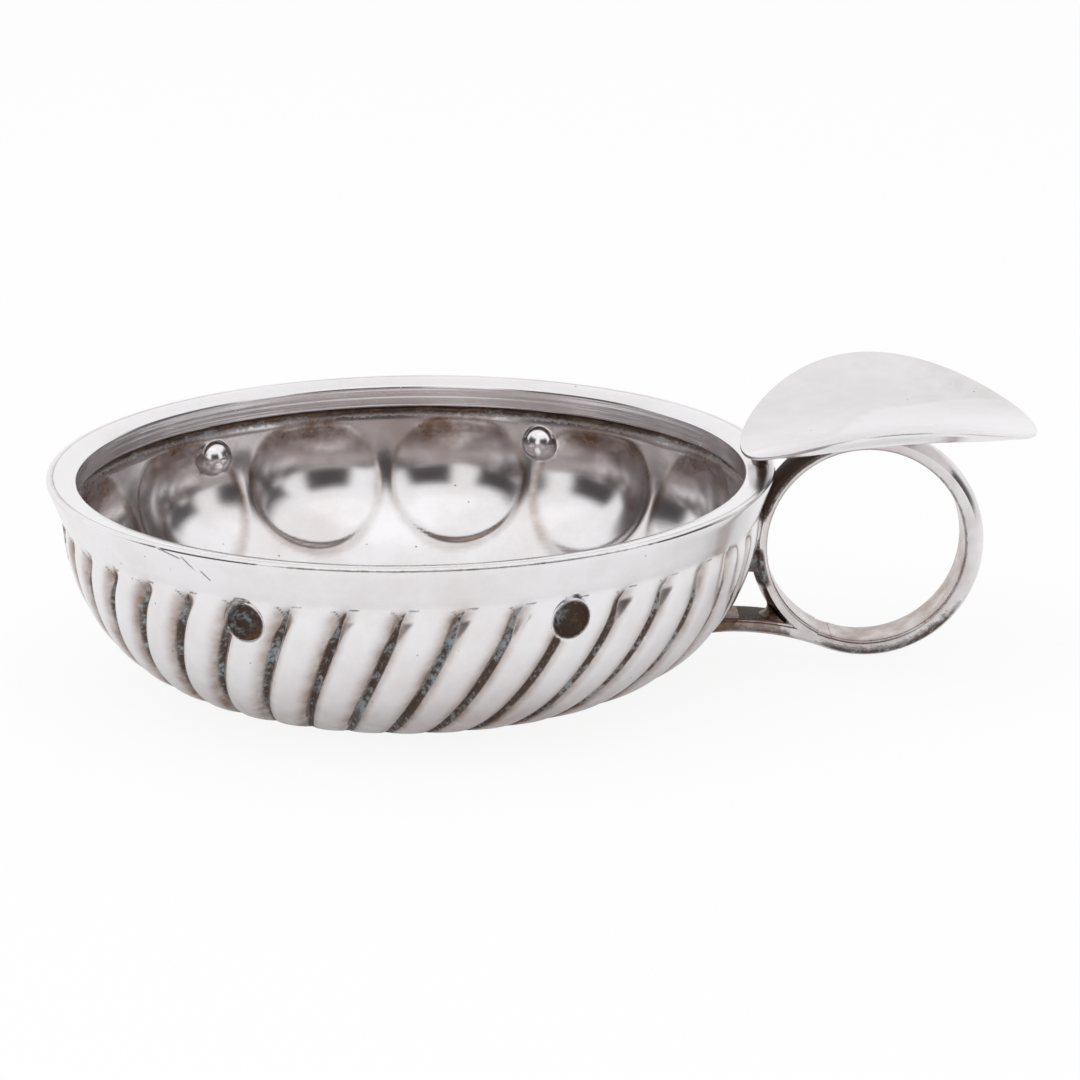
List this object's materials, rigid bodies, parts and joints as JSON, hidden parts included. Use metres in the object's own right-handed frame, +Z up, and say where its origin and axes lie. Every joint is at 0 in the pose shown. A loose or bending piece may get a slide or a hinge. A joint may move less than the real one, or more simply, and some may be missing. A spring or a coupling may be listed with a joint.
{
  "type": "wine tasting cup",
  "caption": "Shallow silver wine tasting cup with a chased bowl, a heavy soldered rim, a round finger ring on a spur and an egg-shaped saddle thumb rest.",
  "frame": {"origin": "centre of the flat base of the bowl, on the table", "axes": "+Z up, +X from the bowl towards the handle, +Y to the far side"},
  "size_m": [0.1112, 0.0816, 0.0312],
  "materials": {
    "silver": "old polished silver, worn bright, with dark patina in the grooves",
    "solder": "silver solder, tarnished grey brown"
  },
  "bodies": {
    "root": {"bowl": "silver", "rim_wire": "silver", "rim_solder": "solder", "finger_ring": "silver", "wall_solder": "solder", "spur_solder": "solder", "lap_solder": "solder", "thumb_rest": "silver", "rest_solder": "solder", "rim_pad": "solder"}
  },
  "joints": []
}
